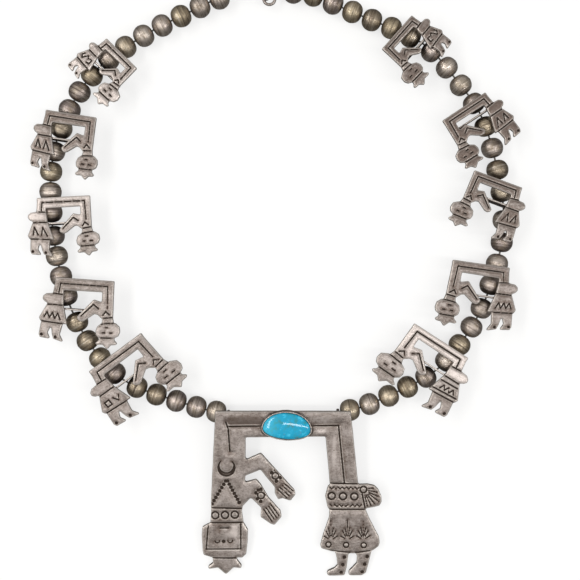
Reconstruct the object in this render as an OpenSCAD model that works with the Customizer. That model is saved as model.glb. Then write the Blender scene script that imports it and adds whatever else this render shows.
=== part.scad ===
// Squash blossom necklace: a loop of round silver beads, ten small rainbow figures and one large one.
// It lies flat. X is across the necklace, Y runs from the pendant up to the clasp, Z is up, in millimetres.

/* [Beads] */
// Width of a bead across the string
bead_d = 9.6; // [7:0.1:12]
// Length of a bead along the string
bead_len = 8.7; // [6.5:0.05:11.5]
// Wall of the two silver halves of a bead
bead_wall = 0.5; // [0.35:0.05:0.8]
// Width of the hole through a bead
bead_hole = 1.8; // [1.6:0.1:2.2]
// Beads on each side of the pendant
beads_a_side = 28; // [24:1:32]
// Room between neighbouring beads on the string
string_gap = 0.25; // [0.2:0.01:0.35]
// Room between a small figure's strip, or a lug, and the beads beside it
seat_gap = 0.4; // [0.35:0.05:0.6]
// Bare string between the last bead of a side and the clasp
end_gap = 0.9; // [0.8:0.1:2]

/* [String] */
// Width of the string
string_d = 0.8; // [0.6:0.1:0.9]
// Slack that the string shows, at most, in the stretch below one figure
string_slack = 3.6; // [0:0.1:6]
// Slack of each side above its highest figure
top_slack = 1.6; // [0:0.1:4]
// Depth to which the string enters the neck of the hook and of the eye
string_in = 0.8; // [0.6:0.1:1.2]

/* [Small figures] */
// Length of the bar of the largest small figure
figure_w = 28; // [24:0.5:32]
// Thickness of a small figure's cast plate
plate_t = 1.8; // [1.2:0.1:2.6]
// Clear height between the beads and the plates that lie on them
rest_gap = 0.3; // [0.2:0.05:0.6]
// Thickness of the drilled strip behind a small figure
shelf_t = 0.7; // [0.5:0.1:1.2]
// Height of that strip's lower edge above the table
shelf_rise = 1.4; // [0.6:0.1:2]
// Width of the hole through that strip
shelf_hole = 2; // [1.8:0.1:2.4]
// Rounding of a small figure's outline
figure_soft = 0.45; // [0.15:0.05:0.6]
// Width of a small figure's grooves
groove_w = 0.45; // [0.3:0.05:0.7]
// Depth of the grooves and stamps
groove_deep = 0.45; // [0.2:0.05:0.8]

/* [Main pendant] */
// Length of the pendant's bar
naja_w = 58.6; // [50:0.2:66]
// Height of the pendant from its bar to its crown
naja_h = 74.6; // [62:0.2:80]
// Thickness of the pendant's plate
naja_t = 2.2; // [1.6:0.1:3]
// Distance of each drilled lug from the end of the bar
lug_in = 5.4; // [4.6:0.1:8]
// Thickness of a lug along the string
lug_t = 1.2; // [0.8:0.1:2]
// Width of a lug
lug_w = 3.4; // [3:0.1:4]
// Metal of a lug above its hole
lug_rim = 0.5; // [0.4:0.05:0.7]
// Distance from the bar's upper edge down to the string
string_in_bar = 2.8; // [1.8:0.1:3.4]
// Width of the hole through a lug
lug_hole = 1.6; // [1.4:0.1:2]
// Rounding of the pendant's outline
naja_soft = 0.7; // [0.2:0.05:0.8]
// Width of the pendant's grooves
naja_groove_w = 0.6; // [0.4:0.05:0.8]
// Width of the fine lines on it, such as the fingers
naja_fine_w = 0.42; // [0.3:0.02:0.6]

/* [Stone] */
// Length of the turquoise
stone_l = 20.6; // [16:0.2:24]
// Reach of the turquoise above its widest line, towards the string
stone_up = 7.4; // [5:0.1:8]
// Reach of the turquoise below its widest line
stone_down = 4.2; // [3:0.1:6]
// Height of the turquoise above the plate
stone_h = 3.4; // [2:0.1:5]
// Height of the silver bezel round the turquoise
bezel_h = 1.4; // [0.8:0.1:1.8]
// Thickness of the bezel
bezel_t = 0.5; // [0.3:0.05:0.8]
// Room between the turquoise and its setting
stone_gap = 0.1; // [0.05:0.01:0.2]

/* [Clasp] */
// Outer width of the eye ring
eye_d = 6.2; // [5.6:0.1:8]
// Wire of the eye ring and of the hook
clasp_wire = 1.3; // [1:0.05:1.4]
// Length of the hook from its neck to its bend
hook_l = 12; // [9:0.2:15]
// Length of the necks that hold the string's ends
neck_l = 2.8; // [2.6:0.1:4]
// Outer width of those necks
neck_d = 2.4; // [2.2:0.1:3]
// Room between the hook and the eye ring, and round the string's ends in their necks
clasp_gap = 0.3; // [0.2:0.05:0.4]

/* [Hidden] */

SILVER = [0.63, 0.59, 0.56];
BEAD_SILVER = [0.50, 0.46, 0.42];
EPS = 0.01;

// The way the string lies on the table, chosen by hand, from the middle of the pendant's bar
// up the left side, past the clasp and down the right side.
LOOP = [[3, -58], [-12, -58], [-24, -58], [-36, -55], [-45, -52.2], [-54, -49.4], [-63, -45.8],
    [-71.8, -39.6], [-78.2, -32.2], [-83.5, -24.5], [-88, -15.5], [-91.6, -6.5], [-94, 3], [-95.8, 12],
    [-97.2, 21], [-97.9, 30], [-98.3, 39], [-98, 48], [-96.5, 57], [-93.6, 65.6], [-90, 74],
    [-85.5, 82], [-80, 89.4], [-73, 96], [-65, 101.6], [-57, 106.6], [-49, 111], [-40.8, 115],
    [-32.4, 119], [-24, 123.2], [-17, 124.2], [-9, 123.2], [-2, 122.2], [2.6, 124.6], [8, 125.8],
    [17, 123.7], [25, 120], [33.4, 116.4], [42, 112.8], [50.8, 109.2], [60, 105.2], [68, 99.4],
    [74.6, 91.8], [80.6, 84],
    [86.8, 76], [91.2, 66.6], [94, 57], [96.4, 47], [98.4, 36.6], [99, 27], [98.4, 17], [96.2, 7.4],
    [93.2, -2.4], [89.6, -12.4], [85, -20.6], [79.8, -28.2], [74, -35.6], [66, -42], [57.6, -46.4],
    [49.2, -50.4], [41, -54], [31, -57.2], [18, -58]];

// One row for each small figure, from the pendant upwards. Bars are shares of figure_w, heights and
// places shares of the bar, plays shares of string_slack; the leans follow the way each figure lies,
// and the last columns draw each casting's feet and head a little in or down and make its head larger,
// as it was carved.
// name, side, beads below it, bar, height, lean, crossing, seat, play, motif, feet in, feet down, head in,
// head size
FIGURES = [
    ["figure_left_5", 1, 5, 1, 1, -21, 0.325, 0.45, 0.2, "squares", 0.05, 0.06, 0.05, 1.12],
    ["figure_left_4", 1, 9, 0.91, 1.16, -27, 0.255, 0.53, 0.45, "zigzag", 0, 0, 0, 1],
    ["figure_left_3", 1, 13, 0.82, 1.11, -2, 0.205, 0.485, 0, "peaks", 0.055, 0.075, -0.03, 1.06],
    ["figure_left_2", 1, 17, 0.79, 1.23, 9.5, 0.24, 0.515, 0, "peaks", 0.08, 0.03, 0, 1.02],
    ["figure_left_1", 1, 21, 0.66, 1.12, 2, 0.26, 0.58, 0, "scrolls", 0, 0.11, -0.03, 1.3],
    ["figure_right_5", -1, 5, 0.99, 1, 19, 0.28, 0.42, 0.2, "bands", 0.02, 0.11, 0.02, 1.18],
    ["figure_right_4", -1, 9, 0.89, 1.14, 11.5, 0.285, 0.55, 0.4, "zigzag", 0.06, 0.065, 0.04, 1.05],
    ["figure_right_3", -1, 13, 0.785, 1.11, -24, 0.18, 0.425, 0.8, "peaks", 0.05, 0.11, 0.02, 1.14],
    ["figure_right_2", -1, 17, 0.795, 1.07, 8, 0.245, 0.3, 1, "peaks", 0.055, 0.085, 0, 1.14],
    ["figure_right_1", -1, 21, 0.695, 1.12, -7, 0.225, 0.555, 0.95, "scrolls", 0.065, 0.08, 0, 1.28]];
F_NAME = 0;
F_SIDE = 1;
F_BELOW = 2;
F_BAR = 3;
F_TALL = 4;
F_LEAN = 5;
F_CROSS = 6;
F_SEAT = 7;
F_PLAY = 8;
F_MOTIF = 9;
F_FEET_IN = 10;
F_FEET_DOWN = 11;
F_HEAD_IN = 12;
F_HEAD = 13;
BEADS_BETWEEN = 4;

// Heights above the table
string_z = bead_d / 2;
plate_up = bead_d / 2 + rest_gap;

// A bead's half section is a round arc whose centre stands a little off the string
bead_swell = (bead_d - bead_len) / 2;
bead_pitch = bead_len + string_gap;

// Room that the two beads beside a leaning strip need, from centre to centre
function seat_room(row) =
    (bead_len + 2 * bead_swell * abs(sin(row[F_LEAN])) + shelf_t + 2 * seat_gap) / cos(row[F_LEAN]);

// Distances along the string from the middle of the pendant, on one side of it. The slack of a
// stretch is spread evenly between the beads that lead to its figure.
first_bead = naja_w / 2 - lug_in + lug_t / 2 + seat_gap + bead_len / 2;
top_beads = beads_a_side - 1 - max([for (row = FIGURES) row[F_BELOW]]);
function part_of(count, from, steps) = min(max((count - from) / steps, 0), 1);
function added(side, count) = concat(
    [for (row = FIGURES) if (row[F_SIDE] == side)
        (row[F_BELOW] <= count ? seat_room(row) - bead_pitch : 0)
        + row[F_PLAY] * string_slack * part_of(count, row[F_BELOW] - BEADS_BETWEEN, BEADS_BETWEEN)],
    [top_slack * part_of(count, beads_a_side - 1 - top_beads, top_beads)]);
function total(list, i = 0) = i < len(list) ? list[i] + total(list, i + 1) : 0;
function bead_at(side, count) = first_bead + count * bead_pitch + total(added(side, count));
function seat_at(row) = (bead_at(row[F_SIDE], row[F_BELOW] - 1) + bead_at(row[F_SIDE], row[F_BELOW])) / 2;
function string_end(side) = bead_at(side, beads_a_side - 1) + bead_len / 2 + end_gap;

// The clasp closes the loop: hook neck, hook, eye ring and eye neck
eye_mid = eye_d / 2 - clasp_wire / 2;
hook_bend = clasp_wire + clasp_gap;
clasp_l = neck_l + hook_l + eye_mid + eye_d / 2 + neck_l - EPS;
loop_l = string_end(1) + clasp_l + string_end(-1);

// The loop's curve through the chosen points, drawn out to the length that the strung pieces need
CURVE_STEPS = 8;
LOOP_N = len(LOOP);
function bend(a, b, c, d, t) =
    0.5 * (2 * b + (c - a) * t + (2 * a - 5 * b + 4 * c - d) * t * t + (3 * b - a - 3 * c + d) * t * t * t);
function loop_point(i) = LOOP[(i + LOOP_N) % LOOP_N];
CURVE = [for (i = [0 : LOOP_N], j = [0 : CURVE_STEPS - 1])
    bend(loop_point(i - 1), loop_point(i), loop_point(i + 1), loop_point(i + 2), j / CURVE_STEPS)];
RUN = [for (i = 0, s = 0; i < len(CURVE); s = s + (i + 1 < len(CURVE) ? norm(CURVE[i + 1] - CURVE[i]) : 0),
    i = i + 1) s];
loop_k = loop_l / RUN[LOOP_N * CURVE_STEPS];
X_RUN = [for (i = [0 : len(RUN) - 1]) [RUN[i] * loop_k, CURVE[i][0] * loop_k]];
Y_RUN = [for (i = [0 : len(RUN) - 1]) [RUN[i] * loop_k, CURVE[i][1] * loop_k]];
function wrapped(s) = s < 0 ? s + loop_l : s;
function loop_at(s) = [lookup(wrapped(s), X_RUN), lookup(wrapped(s), Y_RUN)];
function side_at(side, s) = loop_at(side > 0 ? s : loop_l - s);
function heading(p, q) = atan2(q[1] - p[1], q[0] - p[0]);
function side_heading(side, s) =
    heading(side_at(side, s - bead_len / 2), side_at(side, s + bead_len / 2));

// Puts a piece on the string, with its own Y along the string away from the pendant. A piece with
// a reach has both its ends on the string, and lies along the chord between them.
module on_string(side, s, reach = 0) {
    p = (side_at(side, s - reach) + side_at(side, s + reach)) / 2;
    translate([p[0], p[1], string_z]) rotate([0, 0, side_heading(side, s) - 90]) children();
}

// Flat shapes whose points are shares of two lengths, X across and Y downwards from the bar
module patch(points, across, down) {
    polygon([for (p = points) [p[0] * across, -p[1] * down]]);
}

// Grooves along lines through points given in the same shares
module scratch_lines(lines, across, down, width) {
    hair = width / 20;
    offset(r = width / 2, $fn = 12)
        for (line = lines, i = [0 : len(line) - 2]) {
            a = [line[i][0] * across, -line[i][1] * down];
            b = [line[i + 1][0] * across, -line[i + 1][1] * down];
            translate(a) rotate(atan2(b[1] - a[1], b[0] - a[0])) translate([0, -hair / 2])
                square([norm(b - a), hair]);
        }
}

// Rounds the corners of a flat outline, the inner and the outer ones
module softened(r) {
    offset(r = -r, $fn = 16) offset(r = 2 * r, $fn = 16) offset(r = -r, $fn = 16) children();
}

// Beads: two domed halves, soldered at their rims and drilled for the string
module bead() {
    rotate([90, 0, 0]) rotate_extrude($fn = 48) difference() {
        translate([bead_swell, 0]) circle(d = bead_len, $fn = 48);
        translate([bead_swell, 0]) circle(d = bead_len - 2 * bead_wall, $fn = 48);
        translate([bead_hole / 2 - bead_d, -bead_d]) square([bead_d, 2 * bead_d]);
    }
}

module bead_side(side) {
    color(BEAD_SILVER) for (i = [0 : beads_a_side - 1])
        on_string(side, bead_at(side, i), bead_len / 2) bead();
}

module beads_left() {
    bead_side(1);
}

module beads_right() {
    bead_side(-1);
}

// String: one tube from the neck of the hook, round the whole loop, to the neck of the eye
THREAD_RINGS = 80;
THREAD_SIDES = 6;
thread_from = string_end(1) + string_in;
thread_to = string_end(-1) + string_in;
function thread_ring(k) = let(
    s = thread_from - k / (THREAD_RINGS - 1) * (thread_from + thread_to),
    p = loop_at(s),
    h = heading(loop_at(s + string_in), loop_at(s - string_in)))
    [for (j = [0 : THREAD_SIDES - 1]) let(a = 360 * j / THREAD_SIDES)
        [p[0] - sin(h) * cos(a) * string_d / 2, p[1] + cos(h) * cos(a) * string_d / 2,
            string_z + sin(a) * string_d / 2]];

module thread() {
    rings = [for (k = [0 : THREAD_RINGS - 1]) thread_ring(k)];
    last = (THREAD_RINGS - 1) * THREAD_SIDES;
    color("dimgray") polyhedron(
        points = [for (ring = rings, p = ring) p],
        faces = concat(
            [[for (j = [0 : THREAD_SIDES - 1]) j]],
            [[for (j = [THREAD_SIDES - 1 : -1 : 0]) last + j]],
            [for (k = [0 : THREAD_RINGS - 2], j = [0 : THREAD_SIDES - 1])
                let(a = k * THREAD_SIDES, b = a + THREAD_SIDES, n = (j + 1) % THREAD_SIDES)
                [a + j, b + j, b + n, a + n]]));
}

// Small figures. Shares of the bar's length; X runs from the foot end to the head end.
FIGURE_REACH = 1.167;
LOW_FROM = 0.27;
LOW_STEPS = 0.8;
HEAD_FROM = 0.3;
CHIN = [0.94, 0.74];
function grown(p, row) = p[0] > HEAD_FROM && p[1] > CHIN[1] ? CHIN + row[F_HEAD] * (p - CHIN) : p;
function carved(p, row) = let(low = part_of(p[1], LOW_FROM, LOW_STEPS))
    p[0] > HEAD_FROM ? grown(p, row) + low * [row[F_HEAD_IN], 0]
        : p + low * [row[F_FEET_IN], row[F_FEET_DOWN]];
FIGURE_PARTS = [
    [[0, 0], [1, 0], [1, 0.2], [0, 0.215]],
    [[0, 0.1], [0.16, 0.1], [0.156, 0.32], [-0.03, 0.32]],
    [[0.806, 0.1], [1, 0.1], [1.015, 0.62], [1.04, 0.75], [0.83, 0.75], [0.847, 0.6], [0.811, 0.4]],
    [[0.83, 0.405], [0.79, 0.365], [0.672, 0.335], [0.405, 0.65], [0.43, 0.7], [0.475, 0.726],
        [0.532, 0.712], [0.7, 0.582], [0.756, 0.592], [0.842, 0.665], [0.88, 0.5]],
    [[0.826, 0.728], [0.76, 0.79], [0.737, 0.87], [0.752, 0.94], [0.8, 0.98], [1.06, 0.972],
        [1.128, 0.93], [1.153, 0.859], [1.136, 0.77], [1.065, 0.711]],
    [[0.82, 0.96], [0.8, 1.02], [0.745, 1.075], [0.78, 1.1], [0.87, 1.092], [0.955, 1.167],
        [1.01, 1.095], [1.09, 1.085], [1.12, 1.055], [1.07, 1.01], [1.055, 0.955]],
    [[-0.024, 0.272], [-0.13, 0.282], [-0.183, 0.325], [-0.193, 0.375], [-0.16, 0.42], [-0.103, 0.447],
        [0.168, 0.456], [0.158, 0.28]],
    [[-0.1, 0.44], [-0.232, 0.698], [-0.207, 0.755], [0.25, 0.793], [0.16, 0.44]],
    [[-0.186, 0.73], [-0.218, 0.981], [-0.196, 1.033], [-0.05, 1.052], [-0.03, 1.031],
        [-0.072, 0.947], [-0.018, 0.822], [-0.018, 0.74]],
    [[-0.018, 0.74], [-0.018, 0.822], [0.008, 0.98], [0.032, 1.05], [0.185, 1.093], [0.193, 1.07],
        [0.137, 0.97], [0.179, 0.76]]];
FIGURE_LINES = [
    [[0.08, 0.259], [0.1, 0.1], [0.895, 0.1], [0.918, 0.47]],
    [[0.48, 0.627], [0.677, 0.42], [0.769, 0.486]],
    [[0.849, 0.591], [0.892, 0.525], [0.959, 0.578]],
    [[0.853, 0.644], [1.005, 0.619]],
    [[0.83, 0.742], [1.06, 0.711]],
    [[0.82, 0.978], [1.055, 0.97]],
    [[-0.024, 0.272], [0.156, 0.288]],
    [[-0.101, 0.466], [0.16, 0.47]],
    [[-0.2, 0.755], [0.245, 0.79]],
    [[0.9, 0.798], [0.943, 0.796]],
    [[0.855, 0.888], [0.898, 0.888]],
    [[0.985, 0.884], [1.028, 0.884]]];
FOOT_DOTS = [[-0.168, 0.985], [0.07, 1.018]];
FOOT_DOT = 0.024;
MOTIFS = [
    ["zigzag", [[[-0.14, 0.68], [-0.095, 0.6], [-0.05, 0.69], [-0.005, 0.605], [0.04, 0.7], [0.085, 0.61],
        [0.13, 0.71]]]],
    ["bands", [[[-0.12, 0.665], [-0.08, 0.595], [-0.04, 0.67], [0, 0.6], [0.04, 0.675], [0.08, 0.605],
        [0.12, 0.68]], [[-0.12, 0.54], [0.17, 0.555]], [[-0.19, 0.69], [0.23, 0.725]]]],
    ["peaks", [[[-0.12, 0.68], [-0.085, 0.55], [-0.03, 0.69]], [[0.03, 0.7], [0.07, 0.56], [0.14, 0.72]]]],
    ["squares", [[[-0.11, 0.6], [-0.03, 0.6], [-0.03, 0.69], [-0.11, 0.69], [-0.11, 0.6]],
        [[0.04, 0.61], [0.09, 0.7], [0.14, 0.62]]]],
    ["scrolls", [[[-0.1, 0.57], [-0.14, 0.63], [-0.09, 0.69], [-0.05, 0.63], [0, 0.57], [0.04, 0.62]],
        [[0.06, 0.7], [0.13, 0.69], [0.13, 0.6], [0.07, 0.6]]]]];
SHELF_FROM = 0.03;
SHELF_TO = 0.9;

module figure(name) {
    row = [for (r = FIGURES) if (r[F_NAME] == name) r][0];
    bar = row[F_BAR] * figure_w;
    tall = bar * row[F_TALL] / FIGURE_REACH;
    lines = concat(FIGURE_LINES, [for (m = MOTIFS) if (m[0] == row[F_MOTIF]) m[1]][0]);
    shelf_drop = string_z - shelf_rise;
    color(SILVER) on_string(row[F_SIDE], seat_at(row)) rotate([0, 0, row[F_LEAN]])
        mirror([row[F_SIDE] > 0 ? 0 : 1, 0, 0]) {
            translate([-row[F_CROSS] * bar, row[F_SEAT] * bar, plate_up]) difference() {
                linear_extrude(plate_t) softened(figure_soft)
                    for (part = FIGURE_PARTS) patch([for (p = part) carved(p, row)], bar, tall);
                translate([0, 0, plate_t - groove_deep]) linear_extrude(groove_deep + 1)
                {
                    scratch_lines([for (line = lines) [for (p = line) carved(p, row)]], bar, tall, groove_w);
                    for (dot = FOOT_DOTS) let(p = carved(dot, row)) translate([p[0] * bar, -p[1] * tall])
                        circle(r = FOOT_DOT * bar, $fn = 8);
                }
            }
            difference() {
                translate([(SHELF_FROM - row[F_CROSS]) * bar, -shelf_t / 2, -shelf_drop])
                    cube([(SHELF_TO - SHELF_FROM) * bar, shelf_t, shelf_drop + plate_up + plate_t / 4]);
                rotate([90, 0, 0]) cylinder(d = shelf_hole, h = 3 * shelf_t, center = true, $fn = 32);
            }
        }
}

module figure_left_1() {
    figure("figure_left_1");
}

module figure_left_2() {
    figure("figure_left_2");
}

module figure_left_3() {
    figure("figure_left_3");
}

module figure_left_4() {
    figure("figure_left_4");
}

module figure_left_5() {
    figure("figure_left_5");
}

module figure_right_1() {
    figure("figure_right_1");
}

module figure_right_2() {
    figure("figure_right_2");
}

module figure_right_3() {
    figure("figure_right_3");
}

module figure_right_4() {
    figure("figure_right_4");
}

module figure_right_5() {
    figure("figure_right_5");
}

// Main pendant. X shares of the bar's length from its head end, Y shares of the whole height.
NAJA_PARTS = [
    [[0, 0], [1, 0.01], [1, 0.157], [0, 0.157]],
    [[0, 0.03], [0.226, 0.03], [0.219, 0.283], [0.216, 0.385], [0.209, 0.43], [0.193, 0.568],
        [0.185, 0.6], [0.196, 0.68], [-0.052, 0.68], [-0.044, 0.6], [-0.044, 0.54]],
    [[1, 0.03], [1.025, 0.235], [1.053, 0.46], [0.842, 0.46], [0.811, 0.16]],
    [[0.19, 0.275], [0.219, 0.291], [0.333, 0.252], [0.58, 0.48], [0.585, 0.503], [0.547, 0.54],
        [0.488, 0.524], [0.455, 0.531], [0.431, 0.492], [0.431, 0.457], [0.328, 0.351], [0.217, 0.385],
        [0.19, 0.4]],
    [[0.18, 0.43], [0.209, 0.427], [0.296, 0.408], [0.326, 0.437], [0.385, 0.521], [0.472, 0.601],
        [0.479, 0.636], [0.426, 0.686], [0.395, 0.678], [0.349, 0.65], [0.323, 0.636], [0.328, 0.58],
        [0.291, 0.55], [0.253, 0.519], [0.193, 0.568], [0.17, 0.56]],
    [[-0.051, 0.669], [-0.111, 0.694], [-0.118, 0.741], [-0.113, 0.838], [-0.106, 0.863], [-0.034, 0.882],
        [0.183, 0.882], [0.212, 0.859], [0.224, 0.783], [0.227, 0.716], [0.196, 0.672]],
    [[-0.039, 0.87], [-0.039, 0.915], [-0.077, 0.936], [-0.07, 0.95], [-0.002, 0.942], [0.057, 0.984],
        [0.116, 0.942], [0.168, 0.948], [0.178, 0.936], [0.137, 0.891], [0.14, 0.87]],
    [[0.842, 0.45], [0.826, 0.455], [0.805, 0.515], [0.821, 0.58], [0.838, 0.6], [1.1, 0.6], [1.09, 0.53],
        [1.053, 0.45]],
    [[1.05, 0.447], [1.12, 0.446], [1.17, 0.455], [1.2, 0.478], [1.222, 0.52], [1.224, 0.552],
        [1.209, 0.575], [1.17, 0.584], [1.08, 0.596]],
    [[0.836, 0.59], [0.833, 0.646], [0.787, 0.75], [0.766, 0.815], [0.776, 0.832], [0.843, 0.85],
        [0.97, 0.865], [1.03, 0.865], [1.153, 0.85], [1.2, 0.823], [1.21, 0.802], [1.205, 0.768],
        [1.138, 0.663], [1.1, 0.59]],
    [[0.872, 0.84], [0.887, 0.888], [0.893, 0.937], [0.87, 0.955], [0.82, 0.972], [0.812, 0.988],
        [0.828, 1], [0.926, 1], [0.947, 0.997], [0.962, 0.95], [0.976, 0.87], [0.976, 0.84]],
    [[1.024, 0.84], [1.041, 0.888], [1.037, 0.925], [0.978, 0.975], [0.975, 0.993], [0.988, 1],
        [1.075, 1], [1.106, 0.984], [1.127, 0.925], [1.152, 0.84]]];
NAJA_LINES = [
    [[0.104, 0.24], [0.095, 0.103], [0.079, 0.064]],
    [[0.092, 0.089], [0.907, 0.09], [0.948, 0.435]],
    [[-0.044, 0.577], [0.183, 0.582]],
    [[-0.05, 0.667], [0.192, 0.667]],
    [[-0.067, 0.678], [-0.086, 0.828], [0.172, 0.828], [0.175, 0.678]],
    [[0.022, 0.7], [0.081, 0.7]],
    [[-0.034, 0.882], [0.133, 0.884]],
    [[0.838, 0.436], [1.053, 0.442]],
    [[0.838, 0.594], [1.1, 0.597]],
    [[0.818, 0.842], [0.985, 0.858]],
    [[1.029, 0.86], [1.152, 0.847]],
    [[1.08, 0.505], [1.1, 0.585]]];
// chiselled fingers of each hand: first line and last line
FINGERS = 4;
HANDS = [
    [[[0.454, 0.47], [0.521, 0.523]], [[0.503, 0.435], [0.57, 0.481]]],
    [[[0.348, 0.59], [0.408, 0.664]], [[0.4, 0.558], [0.46, 0.629]]]];
// scalloped lines of the sash: from, to
SCALLOPS = 7;
SCALLOP_DIP = 0.012;
SCALLOPED = [[[0.838, 0.458], [1.058, 0.462]], [[0.842, 0.564], [1.075, 0.567]]];
// the knot of the sash and the ends of its fan of tassels
KNOT = [1.089, 0.477];
KNOT_CLEAR = 0.34;
TASSELS = [[1.165, 0.468], [1.195, 0.495], [1.205, 0.523], [1.203, 0.55], [1.175, 0.568], [1.145, 0.575],
    [1.118, 0.578]];
// U-shaped eyes: where they stand, how wide and how deep
EYES = [[-0.002, 0.776], [0.094, 0.776]];
EYE_W = 0.018;
EYE_DEEP = 0.014;
TRIANGLE_DOTS = 8;
LEG_DOTS = 3;
// rows of ring stamps: first centre, last centre, how many, outer and inner share of the bar
NAJA_RINGS = [
    [[-0.014, 0.622], [0.132, 0.62], 3, 0.032, 0.021],
    [[0.853, 0.513], [1.021, 0.518], 3, 0.032, 0.02],
    [KNOT, KNOT, 1, 0.03, 0.018],
    [[0.827, 0.808], [1.09, 0.815], 3, 0.024, 0.014],
    [[0.438, 0.388], [0.329, 0.505], 2, 0.03, 0.02]];
NAJA_DOTS = [
    [[0.07, 0.416], [-0.036, 0.553], TRIANGLE_DOTS],
    [[0.083, 0.416], [0.167, 0.546], TRIANGLE_DOTS],
    [[0.945, 0.887], [0.921, 0.98], LEG_DOTS],
    [[1.116, 0.885], [1.078, 0.978], LEG_DOTS],
    [[0.045, 0.782], [0.045, 0.782], 1],
    [[0.411, 0.369], [0.441, 0.354], 2],
    [[0.445, 0.42], [0.474, 0.399], 2],
    [[0.292, 0.489], [0.31, 0.474], 2],
    [[0.302, 0.525], [0.326, 0.54], 2],
    [[0.33, 0.468], [0.361, 0.497], 2]];
// Stamped plants: where they stand across the skirt, and the stem and leaves of each
NAJA_PLANTS = [0.846, 0.969, 1.087];
LEAF_BASE = [0, 0.782];
LEAF_FROM = 0.38;
LEAF_TIPS = [[-0.05, 0.757], [-0.036, 0.727], [-0.018, 0.708], [0.018, 0.708], [0.036, 0.727], [0.05, 0.757]];
PLANT = concat([[[0, 0.661], [0, 0.765]]],
    [for (tip = LEAF_TIPS) [LEAF_BASE + LEAF_FROM * (tip - LEAF_BASE), tip]]);
DOT = 0.0135;
CRESCENT_AT = [0.077, 0.336];
CRESCENT_OUT = 0.067;
CRESCENT_IN = 0.05;
CRESCENT_SHIFT = 0.015;
CRESCENT_GATE = 0.07;

// The pendant leans on the table with its feet and crown, and its bar lies on the end beads
naja_foot = naja_h - string_in_bar;
naja_tilt = asin(string_z / norm([naja_foot, plate_up])) + atan(plate_up / naja_foot);

module on_pendant() {
    p = loop_at(0);
    translate([p[0], p[1], string_z]) rotate([0, 0, 180 + heading(loop_at(-first_bead), loop_at(first_bead))])
        rotate([naja_tilt, 0, 0]) children();
}

module at_share(p) {
    translate([p[0] * naja_w, -p[1] * naja_h]) children();
}

// Turquoise outline: a flat oval, deeper towards the string than below
STONE_SIDES = 32;
STONE_AT = [0.525, 0.107];
STONE_TURN = -4;
function turned(p, a) = [p[0] * cos(a) - p[1] * sin(a), p[0] * sin(a) + p[1] * cos(a)];
function stone_outline(grow) = [for (i = [0 : STONE_SIDES - 1]) let(a = 360 * i / STONE_SIDES)
    turned([cos(a) * (stone_l / 2 + grow), sin(a) * ((sin(a) > 0 ? stone_up : stone_down) + grow)],
        STONE_TURN)];

module naja_stamps() {
    for (r = NAJA_RINGS, i = [0 : r[2] - 1])
        at_share(r[0] + (r[1] - r[0]) * i / max(r[2] - 1, 1)) difference() {
            circle(r = r[3] * naja_w, $fn = 16);
            circle(r = r[4] * naja_w, $fn = 16);
        }
    for (d = NAJA_DOTS, i = [0 : d[2] - 1])
        at_share(d[0] + (d[1] - d[0]) * i / max(d[2] - 1, 1)) circle(r = DOT * naja_w, $fn = 8);
    at_share(CRESCENT_AT) difference() {
        circle(r = CRESCENT_OUT * naja_w, $fn = 32);
        translate([0, CRESCENT_SHIFT * naja_w]) circle(r = CRESCENT_IN * naja_w, $fn = 32);
        translate([0, CRESCENT_OUT * naja_w]) square(CRESCENT_GATE * naja_w, center = true);
    }
}

function between(a, b, i, steps) = a + (b - a) * i / steps;

module naja_lines() {
    fingers = [for (hand = HANDS, i = [0 : FINGERS - 1])
        [between(hand[0][0], hand[1][0], i, FINGERS - 1), between(hand[0][1], hand[1][1], i, FINGERS - 1)]];
    scallops = [for (row = SCALLOPED) [for (i = [0 : 2 * SCALLOPS])
        between(row[0], row[1], i, 2 * SCALLOPS) + [0, i % 2 * SCALLOP_DIP]]];
    tassels = [for (tip = TASSELS) [KNOT + KNOT_CLEAR * (tip - KNOT), tip]];
    eyes = [for (eye = EYES) [for (i = [0 : 4]) eye + [-EYE_W * cos(45 * i), EYE_DEEP * sin(45 * i)]]];
    scratch_lines(NAJA_LINES, naja_w, naja_h, naja_groove_w);
    scratch_lines(concat(fingers, scallops, tassels, eyes), naja_w, naja_h, naja_fine_w);
}

module naja_plants() {
    for (x = NAJA_PLANTS)
        scratch_lines([for (line = PLANT) [for (p = line) p + [x, 0]]], naja_w, naja_h, naja_fine_w);
}

module main_pendant() {
    color(SILVER) on_pendant() {
        translate([-naja_w / 2, string_in_bar, plate_up]) {
            difference() {
                linear_extrude(naja_t) softened(naja_soft)
                    for (part = NAJA_PARTS) patch(part, naja_w, naja_h);
                translate([0, 0, naja_t - groove_deep]) linear_extrude(groove_deep + 1)
                    offset(delta = EPS) {
                        naja_lines();
                        naja_stamps();
                        naja_plants();
                    }
                stone_seat(naja_t - EPS, bezel_h, stone_gap);
            }
            difference() {
                stone_seat(0, naja_t + bezel_h, stone_gap + bezel_t);
                stone_seat(naja_t, bezel_h + 1, stone_gap);
            }
        }
        for (side = [-1, 1]) difference() {
            translate([side * (naja_w / 2 - lug_in) - lug_t / 2, lug_hole / 2 + lug_rim - lug_w, -lug_w / 2])
                cube([lug_t, lug_w, lug_w / 2 + plate_up + naja_t / 4]);
            translate([side * (naja_w / 2 - lug_in), 0, 0]) rotate([0, 90, 0])
                cylinder(d = lug_hole, h = 3 * lug_t, center = true, $fn = 32);
        }
    }
}

module stone_seat(from, height, grow) {
    translate([0, 0, from]) at_share(STONE_AT) linear_extrude(height) polygon(stone_outline(grow));
}

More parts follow.
